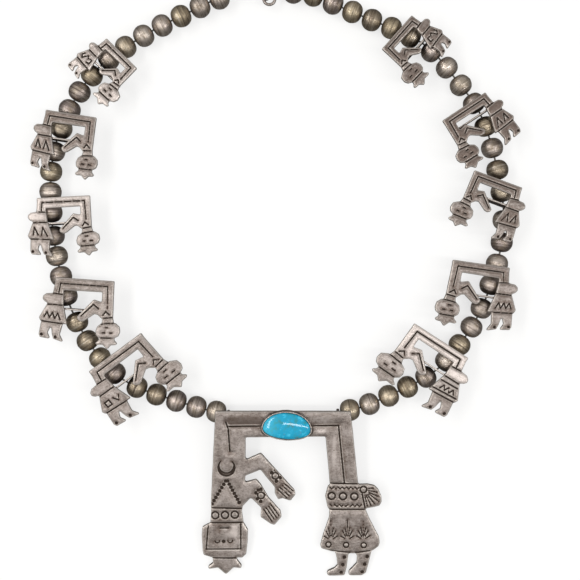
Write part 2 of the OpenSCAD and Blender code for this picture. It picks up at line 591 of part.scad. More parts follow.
// Turquoise: a domed cabochon, its rings drawn in along a quarter round
STONE_RINGS = 6;
STONE_GIRDLE = 0.3;
module turquoise() {
    rings = concat([[0, 0]], [for (i = [0 : STONE_RINGS - 1]) let(a = 90 * i / STONE_RINGS)
        [1 - cos(a), STONE_GIRDLE + (1 - STONE_GIRDLE) * sin(a)]]);
    last = (len(rings) - 1) * STONE_SIDES;
    points = [for (r = rings, p = stone_outline(0)) [p[0] * (1 - r[0]), p[1] * (1 - r[0]), r[1] * stone_h]];
    color("deepskyblue") on_pendant()
        translate([-naja_w / 2, string_in_bar, plate_up + naja_t + stone_gap])
        translate([STONE_AT[0] * naja_w, -STONE_AT[1] * naja_h, 0])
        polyhedron(
            points = concat(points, [[0, 0, stone_h]]),
            faces = concat(
                [[for (j = [0 : STONE_SIDES - 1]) j]],
                [for (k = [0 : len(rings) - 2], j = [0 : STONE_SIDES - 1])
                    let(a = k * STONE_SIDES, b = a + STONE_SIDES, n = (j + 1) % STONE_SIDES)
                    [a + j, b + j, b + n, a + n]],
                [for (j = [0 : STONE_SIDES - 1]) [last + j, len(points), last + (j + 1) % STONE_SIDES]]));
}

// Clasp: each half has a neck, a short drilled tube in which one end of the string is held
module neck() {
    rotate([-90, 0, 0]) difference() {
        cylinder(d = neck_d, h = neck_l, $fn = 32);
        translate([0, 0, -EPS])
            cylinder(d = string_d + 2 * clasp_gap, h = string_in + clasp_gap, $fn = 32);
    }
}

// The ring is soldered to its neck by a stub, a little thinner than the wire
STUB = 0.9;
module eye_ring() {
    color(SILVER) on_string(-1, string_end(-1)) {
        neck();
        translate([0, eye_along, 0]) rotate_extrude($fn = 48)
            translate([eye_mid, 0]) circle(d = clasp_wire, $fn = 24);
        translate([0, neck_l - clasp_wire / 2, 0]) rotate([-90, 0, 0])
            cylinder(d = STUB * clasp_wire, h = clasp_wire, $fn = 24);
    }
}

// The hook points at the middle of the ring. Its wire rises from the neck to a half turn round the
// ring's wire, which lies in the middle of that turn.
eye_along = neck_l - EPS + eye_d / 2;
eye_from = side_at(-1, string_end(-1));
eye_turn = side_heading(-1, string_end(-1));
eye_at = eye_from + eye_along * [cos(eye_turn), sin(eye_turn)];
hook_from = side_at(1, string_end(1));
hook_root = neck_l - clasp_wire / 2;
hook_span = norm(eye_at - hook_from) - eye_mid - hook_root;
hook_rise = asin(hook_bend / hook_span);
hook_run = sqrt(hook_span * hook_span - hook_bend * hook_bend);
module hook() {
    color(SILVER) translate([hook_from[0], hook_from[1], string_z])
        rotate([0, 0, heading(hook_from, eye_at) - 90]) {
            neck();
            translate([0, hook_root, 0]) rotate([hook_rise, 0, 0]) {
                rotate([-90, 0, 0]) cylinder(d = clasp_wire, h = hook_run, $fn = 24);
                translate([0, hook_run - EPS, -hook_bend]) rotate([90, 0, 90]) rotate([0, 0, -90])
                    rotate_extrude(angle = 180, $fn = 48)
                    translate([hook_bend, 0]) circle(d = clasp_wire, $fn = 24);
            }
        }
}

beads_left();
beads_right();
thread();
figure_left_1();
figure_left_2();
figure_left_3();
figure_left_4();
figure_left_5();
figure_right_1();
figure_right_2();
figure_right_3();
figure_right_4();
figure_right_5();
main_pendant();
turquoise();
eye_ring();
hook();
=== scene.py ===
import math
import random

import bmesh
import bpy
import numpy as np
from mathutils import Matrix, Vector, noise
from mathutils.kdtree import KDTree


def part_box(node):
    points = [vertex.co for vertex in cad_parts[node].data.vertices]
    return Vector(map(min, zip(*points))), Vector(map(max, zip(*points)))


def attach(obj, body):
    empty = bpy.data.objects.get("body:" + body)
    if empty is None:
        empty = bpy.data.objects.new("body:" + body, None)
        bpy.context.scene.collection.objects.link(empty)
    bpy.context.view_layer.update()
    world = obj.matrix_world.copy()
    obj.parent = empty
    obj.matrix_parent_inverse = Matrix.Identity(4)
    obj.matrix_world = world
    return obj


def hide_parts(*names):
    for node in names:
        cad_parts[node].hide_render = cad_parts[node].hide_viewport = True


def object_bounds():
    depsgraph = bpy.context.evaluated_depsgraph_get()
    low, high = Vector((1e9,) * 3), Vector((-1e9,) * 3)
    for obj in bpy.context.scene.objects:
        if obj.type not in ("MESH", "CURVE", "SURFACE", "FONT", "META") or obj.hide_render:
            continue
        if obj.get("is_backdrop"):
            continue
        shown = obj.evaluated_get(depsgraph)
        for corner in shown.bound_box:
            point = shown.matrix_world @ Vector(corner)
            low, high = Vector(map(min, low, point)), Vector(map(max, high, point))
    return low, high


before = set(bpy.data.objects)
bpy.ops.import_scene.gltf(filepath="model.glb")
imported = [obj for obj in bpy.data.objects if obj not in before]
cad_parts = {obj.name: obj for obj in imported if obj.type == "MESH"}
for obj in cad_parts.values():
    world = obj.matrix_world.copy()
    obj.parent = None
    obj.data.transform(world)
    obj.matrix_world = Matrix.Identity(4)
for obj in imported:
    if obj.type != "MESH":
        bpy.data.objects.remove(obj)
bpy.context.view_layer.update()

# The camera looks straight down on the necklace laid out flat, as the photograph does.
# It stands 0.46 m above the table, and its frame covers 256 mm of it.
MM = 0.001
CAMERA_HEIGHT = 460
FRAME_WIDTH = 255.9
SENSOR_WIDTH = 36
camera = bpy.data.objects.new("camera", bpy.data.cameras.new("camera"))
bpy.context.collection.objects.link(camera)
camera.location = (6.0 * MM, -4.5 * MM, CAMERA_HEIGHT * MM)
camera.data.sensor_width = SENSOR_WIDTH
camera.data.lens = SENSOR_WIDTH * CAMERA_HEIGHT / FRAME_WIDTH
camera.data.clip_start = 0.01
bpy.context.scene.camera = camera

# The table: a white sheet under the necklace, with a pale dome round it. Neither shows in the metal,
# so the rims of the beads go dark as they do in the photograph.


class Finish:
    """A material in the making: node() adds a node, and what it hands back can be added and multiplied."""

    def __init__(self, name):
        self.material = bpy.data.materials.new(name)
        self.material.use_nodes = True
        self.tree = self.material.node_tree
        self.tree.nodes.clear()

    def node(self, kind, settings, sockets, out=0):
        made = self.tree.nodes.new("ShaderNode" + kind)
        for key, value in settings.items():
            if key == "stops":
                while len(made.color_ramp.elements) < len(value):
                    made.color_ramp.elements.new(0.5)
                for element, (place, color) in zip(made.color_ramp.elements, value):
                    element.position = place
                    element.color = color
            else:
                setattr(made, key, value)
        for key, value in sockets.items():
            if isinstance(value, Shade):
                self.tree.links.new(value.socket, made.inputs[key])
            else:
                made.inputs[key].default_value = value
        return Shade(self, made.outputs[out])

    def blend(self, share, low, high):
        """One colour passing into another as share goes from 0 to 1."""
        return self.node("Mix", {"data_type": "RGBA"}, {0: share, 6: low, 7: high}, out=2)

    def step(self, value, low, high):
        """0 below low, 1 above high, and an even passage between them."""
        return self.node("MapRange", {"interpolation_type": "SMOOTHSTEP"},
                         {"Value": value, "From Min": low, "From Max": high})

    def grains(self, place, scale, detail, rough):
        return self.node("TexNoise", {}, {
            "Vector": place, "Scale": scale, "Detail": detail, "Roughness": rough})

    def stretched(self, place, stretch):
        return self.node("VectorMath", {"operation": "MULTIPLY"}, {0: place, 1: stretch})

    def attribute(self, name, vector=False):
        return self.node("Attribute", {"attribute_name": name}, {}, out=1 if vector else 2)

    def object_place(self):
        return self.node("TexCoord", {}, {}, out=3)

    def bump(self, height, strength, depth):
        """A relief that is depth millimetres deep."""
        return self.node("Bump", {}, {"Strength": strength, "Distance": depth * MM, "Height": height})

    def surface(self, sockets):
        shader = self.node("BsdfPrincipled", {}, sockets)
        output = self.tree.nodes.new("ShaderNodeOutputMaterial")
        self.tree.links.new(shader.socket, output.inputs["Surface"])
        return self.material


class Shade:
    """A value of a material, with arithmetic that adds Math nodes."""

    def __init__(self, finish, socket):
        self.finish = finish
        self.socket = socket

    def math(self, operation, first, second):
        return self.finish.node("Math", {"operation": operation}, {0: first, 1: second})

    def __add__(self, other):
        return self.math("ADD", self, other)

    __radd__ = __add__

    def __sub__(self, other):
        return self.math("SUBTRACT", self, other)

    def __rsub__(self, other):
        return self.math("SUBTRACT", other, self)

    def __mul__(self, other):
        return self.math("MULTIPLY", self, other)

    __rmul__ = __mul__

    def most(self, other):
        return self.math("MAXIMUM", self, other)

    def least(self, other):
        return self.math("MINIMUM", self, other)


def tone(red, green, blue):
    """A colour from the 0 to 255 numbers that a picture shows."""
    shown = (red, green, blue)
    return tuple(((v / 255 + 0.055) / 1.055) ** 2.4 if v > 10 else v / 3295 for v in shown) + (1,)


def placed(name, shape, smooth=False):
    """Makes a shape into a piece of the scene, and frees the shape."""
    if smooth:
        for face in shape.faces:
            face.smooth = True
    mesh = bpy.data.meshes.new(name)
    shape.to_mesh(mesh)
    shape.free()
    piece = bpy.data.objects.new(name, mesh)
    bpy.context.collection.objects.link(piece)
    return piece


TABLE_RADIUS = 3.0
table_shape = bmesh.new()
bmesh.ops.create_circle(table_shape, cap_ends=True, segments=96, radius=TABLE_RADIUS)
table = placed("table", table_shape)
paper = Finish("white_paper")
table.data.materials.append(paper.surface({
    "Base Color": tone(148, 148, 147), "Roughness": 0.9, "Specular IOR Level": 0.1,
    "Emission Color": (1, 1, 1, 1), "Emission Strength": 0.68}))
table.visible_glossy = False
table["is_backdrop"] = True

dome_shape = bmesh.new()
bmesh.ops.create_icosphere(dome_shape, subdivisions=4, radius=TABLE_RADIUS - 0.1)
whole_dome = dome_shape.verts[:] + dome_shape.edges[:] + dome_shape.faces[:]
bmesh.ops.bisect_plane(dome_shape, geom=whole_dome, plane_co=(0, 0, 0), plane_no=(0, 0, 1),
                       clear_inner=True)
bmesh.ops.reverse_faces(dome_shape, faces=dome_shape.faces)
dome = placed("dome", dome_shape)
haze = Finish("pale_haze")
dome.data.materials.append(haze.surface({
    "Base Color": (0, 0, 0, 1), "Roughness": 1.0, "Specular IOR Level": 0.0,
    "Emission Color": tone(238, 238, 238), "Emission Strength": 1.0}))
for rays in ("glossy", "diffuse", "shadow", "transmission", "volume_scatter"):
    setattr(dome, "visible_" + rays, False)
dome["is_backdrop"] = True

# The light: a long narrow lamp above, which draws the streak on the stone, and a tall soft panel at the
# left. The sky is bright overhead and a little to the upper left, and dark low down, as in a photo tent.
SKY = [(0.0, 0.20), (0.06, 0.30), (0.22, 0.44), (0.50, 0.58), (0.80, 0.74), (1.0, 0.82)]
SKY_LEAN = (-0.06, 0.12, 1.0)
SKY_TINT = (1.0, 0.985, 0.975)
sky = bpy.data.worlds.new("tent")
bpy.context.scene.world = sky
sky.use_nodes = True
sky_tree = sky.node_tree
sky_tree.nodes.clear()
sky_place = sky_tree.nodes.new("ShaderNodeTexCoord")
sky_ramp = sky_tree.nodes.new("ShaderNodeValToRGB")
sky_light = sky_tree.nodes.new("ShaderNodeBackground")
sky_out = sky_tree.nodes.new("ShaderNodeOutputWorld")
while len(sky_ramp.color_ramp.elements) < len(SKY):
    sky_ramp.color_ramp.elements.new(0.5)
for element, (height, light) in zip(sky_ramp.color_ramp.elements, SKY):
    element.position = height
    element.color = tuple(light * share for share in SKY_TINT) + (1,)
sky_lean = sky_tree.nodes.new("ShaderNodeVectorMath")
sky_lean.operation = "DOT_PRODUCT"
sky_lean.inputs[1].default_value = SKY_LEAN
sky_tree.links.new(sky_place.outputs["Generated"], sky_lean.inputs[0])
sky_tree.links.new(sky_lean.outputs["Value"], sky_ramp.inputs[0])
sky_tree.links.new(sky_ramp.outputs[0], sky_light.inputs["Color"])
sky_tree.links.new(sky_light.outputs[0], sky_out.inputs["Surface"])


def panel(name, place, lean, width, power, color):
    """A lamp that faces down, leaned over about X and Y by so many degrees."""
    lamp = bpy.data.lights.new(name, "AREA")
    lamp.shape = "RECTANGLE"
    lamp.size = width[0]
    lamp.size_y = width[1]
    lamp.energy = power
    lamp.color = color
    holder = bpy.data.objects.new(name, lamp)
    bpy.context.collection.objects.link(holder)
    holder.location = place
    holder.rotation_euler = (math.radians(lean[0]), math.radians(lean[1]), 0)
    holder.visible_camera = False


panel("lamp_overhead", (0.5, -0.19, 1.0), (0, 27), (1.3, 0.09), 4.2, (1.0, 0.99, 0.98))
panel("panel_left", (-0.62, 0.1, 0.95), (-6, -34), (0.2, 1.0), 5.0, (1.0, 0.985, 0.965))
bpy.context.scene.view_settings.view_transform = "Standard"
bpy.context.scene.view_settings.look = "None"

# The beads: 28 on each side of the string, each of two domed silver halves soldered rim to rim,
# filed at the seam, drilled for the string, and dark with age at the seam. Their ends, where they meet
# one another, are painted dark as shade.
# All sizes are in millimetres.
BEAD_WIDTH = 9.6
BEAD_LENGTH = 8.7
BEAD_END_RADIUS = 9.0
BEAD_SHOULDER = 24  # how sharply the ball turns into its flatter ends
BEAD_HOLE = 1.8
BEAD_WALL = 0.5
BEAD_SIDES = 30
RINGS_OUTSIDE = 32
RINGS_INSIDE = 8
SEAM_OFF_CENTRE = 0.35
SOLDER_HEIGHTS = (0.0, 0.06, 0.10, 0.16)
SOLDER_WIDTH = 0.32
FILED_DEPTH = 0.11
FILED_WIDTH = 0.14
SEAM_DIRT = (0.15, 0.4, 0.6, 0.9)
SEAM_DIRT_WIDTH = 0.17
STRUNG_ASKEW = 0.05
# painted shade at each end of a bead, round its hole, where it meets the next: how far it reaches, how it
# fades and wanders, and how hard its edge is
HOLE_SHADE_REACH = 3.5
HOLE_SHADE_FADE = 2.2
HOLE_SHADE_WANDER = 0.8
HOLE_SHADE_EDGE = 1.4
HOLE_LIP = 0.2
DENTS = 0.006
WANDERS_PER_MM = 0.9
DENTS_PER_MM = 0.45
PATTERN_APART = (31.0, 17.0)  # how far apart the patterns of two beads lie
TURNED_AT_MOST = 6.28  # radians
DOUBLES = 1e-6  # metres: vertices of a CAD mesh closer than this are one


def bead_reach(a):
    """How far a bead reaches from its middle at the angle a from its widest ring.
    It is a ball with flatter ends."""
    back = BEAD_END_RADIUS - BEAD_LENGTH / 2
    rise = abs(math.sin(a)) * back
    end = math.sqrt(rise * rise + BEAD_END_RADIUS * BEAD_END_RADIUS - back * back) - rise
    return (end ** -BEAD_SHOULDER + (BEAD_WIDTH / 2) ** -BEAD_SHOULDER) ** (-1 / BEAD_SHOULDER)


def bead_wall(seam, ridge):
    """The wall of a bead cut in half, as how far out and how far along: from hole to hole outside,
    and back inside."""
    wall = []
    mouth = math.acos(BEAD_HOLE / BEAD_LENGTH)
    for i in range(RINGS_OUTSIDE + 1):
        a = mouth * (2 * i / RINGS_OUTSIDE - 1)
        along = bead_reach(a) * math.sin(a)
        line = abs(along - seam)
        out = bead_reach(a) * math.cos(a) + ridge * math.exp(-(line / SOLDER_WIDTH) ** 2)
        wall.append((out - FILED_DEPTH * math.exp(-(line / FILED_WIDTH) ** 2), along))
    mouth = math.acos(BEAD_HOLE / 2 / (BEAD_LENGTH / 2 - BEAD_WALL))
    for i in range(RINGS_INSIDE + 1):
        a = mouth * (1 - 2 * i / RINGS_INSIDE)
        inner = bead_reach(a) - BEAD_WALL
        wall.append((inner * math.cos(a), inner * math.sin(a)))
    return wall


def joined_to(verts):
    """All the vertices that edges join to the given ones."""
    found = set(verts)
    heap = list(found)
    while heap:
        for edge in heap.pop().link_edges:
            for vert in edge.verts:
                if vert not in found:
                    found.add(vert)
                    heap.append(vert)
    return found


def solids_of(node):
    """The centre and the string axis of each bead of a CAD node, from the faces of each loose solid."""
    shape = bmesh.new()
    shape.from_mesh(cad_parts[node].data)
    bmesh.ops.remove_doubles(shape, verts=shape.verts, dist=DOUBLES)
    seen, found = set(), []
    for first in shape.verts:
        if first in seen:
            continue
        solid = joined_to([first])
        seen |= solid
        faces = {face for vert in solid for face in vert.link_faces}
        middles = np.array([face.calc_center_median() for face in faces])
        areas = np.array([face.calc_area() for face in faces])
        centre = (middles * areas[:, None]).sum(0) / areas.sum()
        spread = (middles - centre) * np.sqrt(areas)[:, None]
        axis = np.linalg.eigh(spread.T @ spread)[1][:, 0]
        found.append((Vector(centre), Vector(axis)))
    shape.free()
    return found


def bead_into(shape, centre, axis, number, chance):
    """Spins one bead about its axis and writes on its vertices its own place and tint, and how dark each
    is:
    its dark seam, and painted shade at its ends where beads meet.
    """
    turned = shape.verts.layers.float_vector["turned"]
    tint = shape.verts.layers.float["tint"]
    grime = shape.verts.layers.float["grime"]
    ridge = chance.choice(SOLDER_HEIGHTS)
    seam = chance.uniform(-SEAM_OFF_CENTRE, SEAM_OFF_CENTRE)
    joint = chance.choice(SEAM_DIRT)
    tilt = chance.uniform(-STRUNG_ASKEW, STRUNG_ASKEW)
    ring = [shape.verts.new((out * MM, 0, along * MM)) for out, along in bead_wall(seam, ridge)]
    edges = [shape.edges.new((ring[i - 1], ring[i])) for i in range(len(ring))]
    spun = bmesh.ops.spin(shape, geom=ring + edges, cent=(0, 0, 0), axis=(0, 0, 1), angle=2 * math.pi,
                          steps=BEAD_SIDES, use_merge=True)
    verts = joined_to([item for item in spun["geom_last"] + ring if isinstance(item, bmesh.types.BMVert)])
    shade = chance.random()
    shift = Vector((PATTERN_APART[0] * number, PATTERN_APART[1] * chance.random(), 0))
    spin = Matrix.Rotation(chance.uniform(0, TURNED_AT_MOST), 4, "Z") @ Matrix.Rotation(tilt, 4, "X")
    strung_at = Matrix.Translation(centre) @ axis.to_track_quat("Z", "Y").to_matrix().to_4x4()
    for vert in verts:
        place = vert.co / MM
        out = math.hypot(place.x, place.y)
        line = abs(place.z - seam)
        wander = noise.noise(place * WANDERS_PER_MM + shift)
        # painted shade at the bead's ends, where it meets its neighbours
        shade_at_ends = (HOLE_SHADE_REACH - out + HOLE_SHADE_WANDER * wander) / HOLE_SHADE_FADE
        at_seam = joint * math.exp(-(line / SEAM_DIRT_WIDTH) ** 2)
        vert[turned] = place + shift
        vert[tint] = shade
        vert[grime] = min(1.0, at_seam + max(0.0, min(1.0, shade_at_ends)) ** HOLE_SHADE_EDGE)
        if out > BEAD_HOLE / 2 + HOLE_LIP:
            vert.co *= 1 + DENTS * noise.noise(place * DENTS_PER_MM + shift)
    bmesh.ops.transform(shape, matrix=strung_at @ spin, verts=list(verts))


bead_silver = Finish("bead_silver")
turned = bead_silver.attribute("turned", vector=True)
tint = bead_silver.attribute("tint")
grime = bead_silver.attribute("grime")
filed = bead_silver.grains(bead_silver.stretched(turned, (0.06, 0.06, 1.0)), 1.15, 6.0, 0.78)
clouds = bead_silver.grains(turned, 0.34, 3.0, 0.55)
specks = bead_silver.grains(turned, 1.9, 4.0, 0.7)
tarnish = bead_silver.step(clouds, 0.42, 0.66)
dark_streak = bead_silver.step(filed, 0.48, 0.62)
light_streak = bead_silver.step(filed, 0.46, 0.34)
# dark where dirty: the seam, the specks, and painted shade at the bead ends
dirt_and_shade = (grime + 0.8 * bead_silver.step(specks, 0.55, 0.72) * (0.30 + 0.70 * grime)).least(1.0)
skin = bead_silver.node("ValToRGB", {"stops": [
    (0.0, tone(152, 140, 135)), (0.3, tone(184, 172, 163)), (0.55, tone(202, 191, 180)),
    (0.75, tone(184, 170, 144)), (1.0, tone(148, 136, 120))]}, {"Fac": tint})
skin = bead_silver.blend(0.6 * tarnish, skin, tone(144, 131, 110))
skin = bead_silver.blend(0.7 * dark_streak, skin, tone(86, 73, 64))
skin = bead_silver.blend(0.5 * light_streak, skin, tone(234, 226, 214))
skin = bead_silver.blend(dirt_and_shade, skin, tone(50, 41, 35))
bead_silver.surface({
    "Base Color": skin, "Metallic": 1.0 - 0.4 * dirt_and_shade,
    "Roughness": 0.31 + 0.14 * tarnish + 0.25 * dirt_and_shade + 0.10 * dark_streak,
    "Normal": bead_silver.bump(0.3 * specks - filed, 0.7, 0.3)})

for node, seed in (("beads_left", 3), ("beads_right", 8)):
    chance = random.Random(seed)
    strung = bmesh.new()
    strung.verts.layers.float_vector.new("turned")
    strung.verts.layers.float.new("tint")
    strung.verts.layers.float.new("grime")
    for number, (centre, axis) in enumerate(solids_of(node)):
        bead_into(strung, centre, axis, number, chance)
    bmesh.ops.recalc_face_normals(strung, faces=strung.faces)
    beads = placed("bench_" + node, strung, smooth=True)
    beads.data.materials.append(bead_silver.material)
    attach(beads, "root")
    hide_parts(node)

# The string: a thin plaited wire, dark with age, on which everything hangs. It shows only between the beads
# and at the clasp, and keeps the CAD string's own mesh.
string_wire = Finish("string_wire")
plait = string_wire.node("TexWave", {"bands_direction": "DIAGONAL"}, {
    "Vector": string_wire.object_place(), "Scale": 900.0, "Distortion": 2.0, "Detail": 1.0})
plait_share = string_wire.node("SeparateColor", {}, {"Color": plait})
string_wire.surface({
    "Base Color": string_wire.blend(plait_share, tone(58, 52, 46), tone(150, 146, 138)),
    "Metallic": 0.9, "Roughness": 0.5 - 0.15 * plait_share,
    "Normal": string_wire.bump(plait_share, 0.6, 0.1)})
string_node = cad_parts["thread"]
string_node.material_slots[0].link = "OBJECT"
string_node.material_slots[0].material = string_wire.material

# The small figures: ten rainbow figures, five a side, cast flat in silver, filed, and stamped and
# chiselled by hand. The drilled strip behind each is soldered on. Age has left them grey, brown in
# their grooves and paler at their edges.
EVENING = 0.55
EVENING_BACK = -0.57  # undoes the shrinking that evening out brings
BROAD_EVENING = 0.6
BROAD_ROUNDS = 26
WEAR_SPAN = 0.16 * MM
SWELLS = ((240, 0.05), (900, 0.015))  # how often in a metre, and how high in mm

# how the faces of a plate are told apart: by how much they face up, and by how worn they are
MOSTLY_UP = 0.95
ALL_UP = 0.97
STEEP = 0.5
FACE_PERCENTILE = 62
IN_GROOVE = -0.45

# where the parts of a plate are looked for, in mm below its face
SIDE_WALL = (0.7, 1.35)
CHISELLED = (0.12, 0.7)
CHISELLED_FROM_RIM = 0.5
SOFTENED = 1.0
SOFTENED_FADE = 0.8
STRIP_BEHIND = 2.2
RAISED_WORK = 0.25
FAR = 9.0

# darkening on a plate, in and round a chiselled line, and painted shade at its rim: how far each reaches,
# in mm, and how much there is
LINE_HALO = (0.9, 0.9)
LINE_DIRT = (0.28, 1.1)
RIM_SHADE = (0.8, 0.1)
PATTERN_STEP = 7.7  # how far apart the patterns of two castings start


def read_out(items, key, width=3, kind=float):
    """A row of numbers for each vertex or edge of a mesh, or for each entry of its attribute."""
    numbers = np.empty(len(items) * width, kind)
    items.foreach_get(key, numbers)
    return numbers.reshape(-1, width)


def write_out(mesh, name, values):
    """Keeps a number or a place for each vertex in the mesh's attribute of that name."""
    kind, key = ("FLOAT_VECTOR", "vector") if values.ndim == 2 else ("FLOAT", "value")
    if name not in mesh.attributes:
        mesh.attributes.new(name, kind, "POINT")
    mesh.attributes[name].data.foreach_set(key, values.astype(np.float32).ravel())


def melted(mesh, rounds):
    """Softens the edges of a casting by evening out its vertices, without letting it shrink.
    Hands back their places, and those on a much softer shape, which tells edges from grooves."""
    place = read_out(mesh.vertices, "co")
    one, two = read_out(mesh.edges, "vertices", 2, np.int64).T
    count = np.bincount(np.concatenate((one, two)), minlength=len(place))[:, None]

    def evened(p, share):
        total = np.empty_like(p)
        for axis in range(3):
            total[:, axis] = np.bincount(one, p[two, axis], len(p))
            total[:, axis] += np.bincount(two, p[one, axis], len(p))
        return p + share * (total / count - p)

    for _ in range(rounds):
        place = evened(evened(place, EVENING), EVENING_BACK)
    broad = place
    for _ in range(BROAD_ROUNDS):
        broad = evened(broad, BROAD_EVENING)
    return place, broad


def nearest(points, others):
    """How far each point lies from the nearest of the others, in the plane of the plate."""
    tree = KDTree(len(others))
    for i, (x, y) in enumerate(others):
        tree.insert((x, y, 0), i)
    tree.balance()
    return np.array([tree.find((x, y, 0))[2] for x, y in points])


def fading(away, reach, much):
    return much * np.exp(-(away / reach) ** 2)


def uneven(place, shift):
    """How far the hammer and the file leave a surface off the true at a place, in mm."""
    return sum(noise.noise(place * often + shift) * high for often, high in SWELLS)


def worked(place, normals, worn, edge, dish):
    """Rounds a plate's outline and sinks its face round each chiselled line, as filing and punching do.
    edge and dish hold how wide and how deep. Hands back the places, how rubbed and how dark each is,
    with painted shade at the rim and on the strip under the face."""
    up = normals[normals[:, 2] > MOSTLY_UP].mean(0)
    up /= np.linalg.norm(up)
    level = place @ up / MM
    facing = normals @ up
    top = np.percentile(level[facing > ALL_UP], FACE_PERCENTILE)
    across = np.cross((0, 1, 0), up)
    across /= np.linalg.norm(across)
    flat = np.stack((place @ across, place @ np.cross(up, across)), 1) / MM
    wall = (abs(facing) < STEEP) & (level < top - SIDE_WALL[0]) & (level > top - SIDE_WALL[1])
    raised = level > top - SOFTENED
    share = np.clip(level - top + SOFTENED, 0, SOFTENED_FADE) / SOFTENED_FADE
    rim = np.full(len(place), FAR)
    rim[raised] = nearest(flat[raised], flat[wall])
    cut = (worn < IN_GROOVE) & (level < top - CHISELLED[0]) & (level > top - CHISELLED[1])
    cut &= rim > CHISELLED_FROM_RIM
    groove = np.full(len(place), FAR)
    if cut.any():
        groove[raised] = nearest(flat[raised], flat[cut])
    fall = edge[1] * np.clip(1 - rim / edge[0], 0, 1) ** 2 + fading(groove, *dish)
    fall[level > top + RAISED_WORK] = 0
    # the strip under the face gets painted shade, and so does the rim; the chiselled lines get a darker
    # halo
    shaded_behind = level < top - STRIP_BEHIND
    grimy = fading(groove, *LINE_HALO) + fading(groove, *LINE_DIRT) + fading(rim, *RIM_SHADE) + shaded_behind
    return place - up * (fall * share * MM)[:, None], np.clip(worn - shaded_behind, -1, 1), grimy


def as_modified(piece):
    """The mesh that a piece's modifiers make, with the modifiers taken off the piece."""
    mesh = bpy.data.meshes.new_from_object(piece.evaluated_get(bpy.context.evaluated_depsgraph_get()))
    piece.modifiers.clear()
    return mesh


def cast(node, name, material, grain, rounds, triangles, angle, seed, edge=None, dish=None):
    """The skin of a cast piece: the solid's shape with soft edges, and on its vertices how rubbed each is
    (1 on an edge, -1 in a groove, and lower on the strip under the face as painted shade), how dark with
    dirt and painted shade, and its place along and across the bar."""
    whole = bmesh.new()
    whole.from_mesh(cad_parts[node].data)
    bmesh.ops.remove_doubles(whole, verts=whole.verts, dist=DOUBLES)
    piece = placed(name, whole)
    piece.data.name = name + "_rough"
    skin = piece.modifiers.new("skin", "REMESH")
    skin.mode = "VOXEL"
    skin.voxel_size = grain * MM
    mesh = as_modified(piece)
    place, broad = melted(mesh, rounds)
    mesh.vertices.foreach_set("co", place.ravel())
    mesh.update()
    normals = read_out(mesh.vertices, "normal")
    worn = np.clip(((place - broad) * normals).sum(1) / WEAR_SPAN, -1, 1)
    grimy = np.zeros(len(place))
    if edge:
        place, worn, grimy = worked(place, normals, worn, edge, dish)
        shift = Vector((seed * 5.3, seed * 2.1, 0))
        swell = np.array([uneven(Vector(p), shift) for p in place])
        place = place + normals * (swell * MM)[:, None]
    mesh.vertices.foreach_set("co", place.ravel())
    c, s = math.cos(math.radians(angle)), math.sin(math.radians(angle))
    along = (place[:, 0] * c + place[:, 1] * s) / MM
    across = (place[:, 1] * c - place[:, 0] * s) / MM
    write_out(mesh, "worn", worn)
    write_out(mesh, "grimy", grimy)
    write_out(mesh, "drawn", np.stack((along, across, place[:, 2] / MM), 1) + seed * PATTERN_STEP)
    piece.data = mesh
    thin = piece.modifiers.new("thin", "DECIMATE")
    thin.ratio = min(1.0, triangles / (2 * len(mesh.polygons)))
    piece.data = as_modified(piece)
    piece.data.name = name
    for face in piece.data.polygons:
        face.use_smooth = True
    piece.data.materials.clear()
    piece.data.materials.append(material)
    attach(piece, "root")
    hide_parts(node)
    return piece


def silver_finish(name, scratch):
    """Old cast silver: warm grey, brown in its grooves, where it is dirty and where shade is painted,
    paler on its edges, where it is rubbed clean and where a highlight is painted, and finely scratched
    along the bar."""
    metal = Finish(name)
    worn = metal.attribute("worn")
    grimy = metal.attribute("grimy")
    drawn = metal.attribute("drawn", vector=True)
    clouds = metal.grains(drawn, 0.2, 4.0, 0.6)
    mottle = metal.grains(drawn, 0.9, 5.0, 0.7)
    brushed = metal.grains(metal.stretched(drawn, (0.12, 1.0, 0.5)), 4.0, 4.0, 0.7)
    pits = metal.step(metal.grains(drawn, 2.2, 3.0, 0.65) + 0.3 * clouds, 0.72, 0.86)
    # the groove colour also paints shade on the strip under the face, and where dirt and painted shade are
    # heaviest
    groove = metal.step(-1.0 * worn + 0.25 * (mottle - 0.5), 0.12, 0.55)
    groove = groove.most(metal.step(grimy, 1.35, 1.9))
    edge = metal.step(worn + 0.5 * (mottle - 0.5), 0.18, 0.85)
    # the soiled face darkens with dirt and painted shade; the rubbed face is paler and takes painted
    # highlights
    soiled_and_shaded_face = metal.step(grimy + 0.8 * (mottle - 0.5), 0.05, 0.95)
    rubbed_and_highlit_face = metal.step(0.6 * (mottle - 0.5) - grimy, 0.05, 0.9)
    face = metal.blend(metal.step(clouds, 0.36, 0.66), tone(160, 151, 146), tone(128, 118, 112))
    face = metal.blend(0.75 * metal.step(mottle, 0.42, 0.70), face, tone(104, 93, 87))
    face = metal.blend(0.34 * metal.step(brushed, 0.45, 0.65), face, tone(200, 193, 185))
    face = metal.blend(0.72 * soiled_and_shaded_face, face, tone(92, 77, 68))
    face = metal.blend(0.7 * rubbed_and_highlit_face, face, tone(224, 214, 208))
    face = metal.blend(0.75 * pits, face, tone(84, 72, 62))
    face = metal.blend(0.42 * edge, face, tone(216, 209, 201))
    face = metal.blend(groove, face, tone(50, 39, 31))
    return metal.surface({
        "Base Color": face, "Metallic": 0.9 - 0.25 * edge - 0.4 * groove,
        "Roughness": 0.42 + 0.10 * mottle - 0.10 * edge + 0.28 * groove,
        "Normal": metal.bump(0.5 * mottle + scratch * brushed - 0.6 * pits, 0.6, 0.1)})


cast_silver = silver_finish("cast_silver", 0.5)

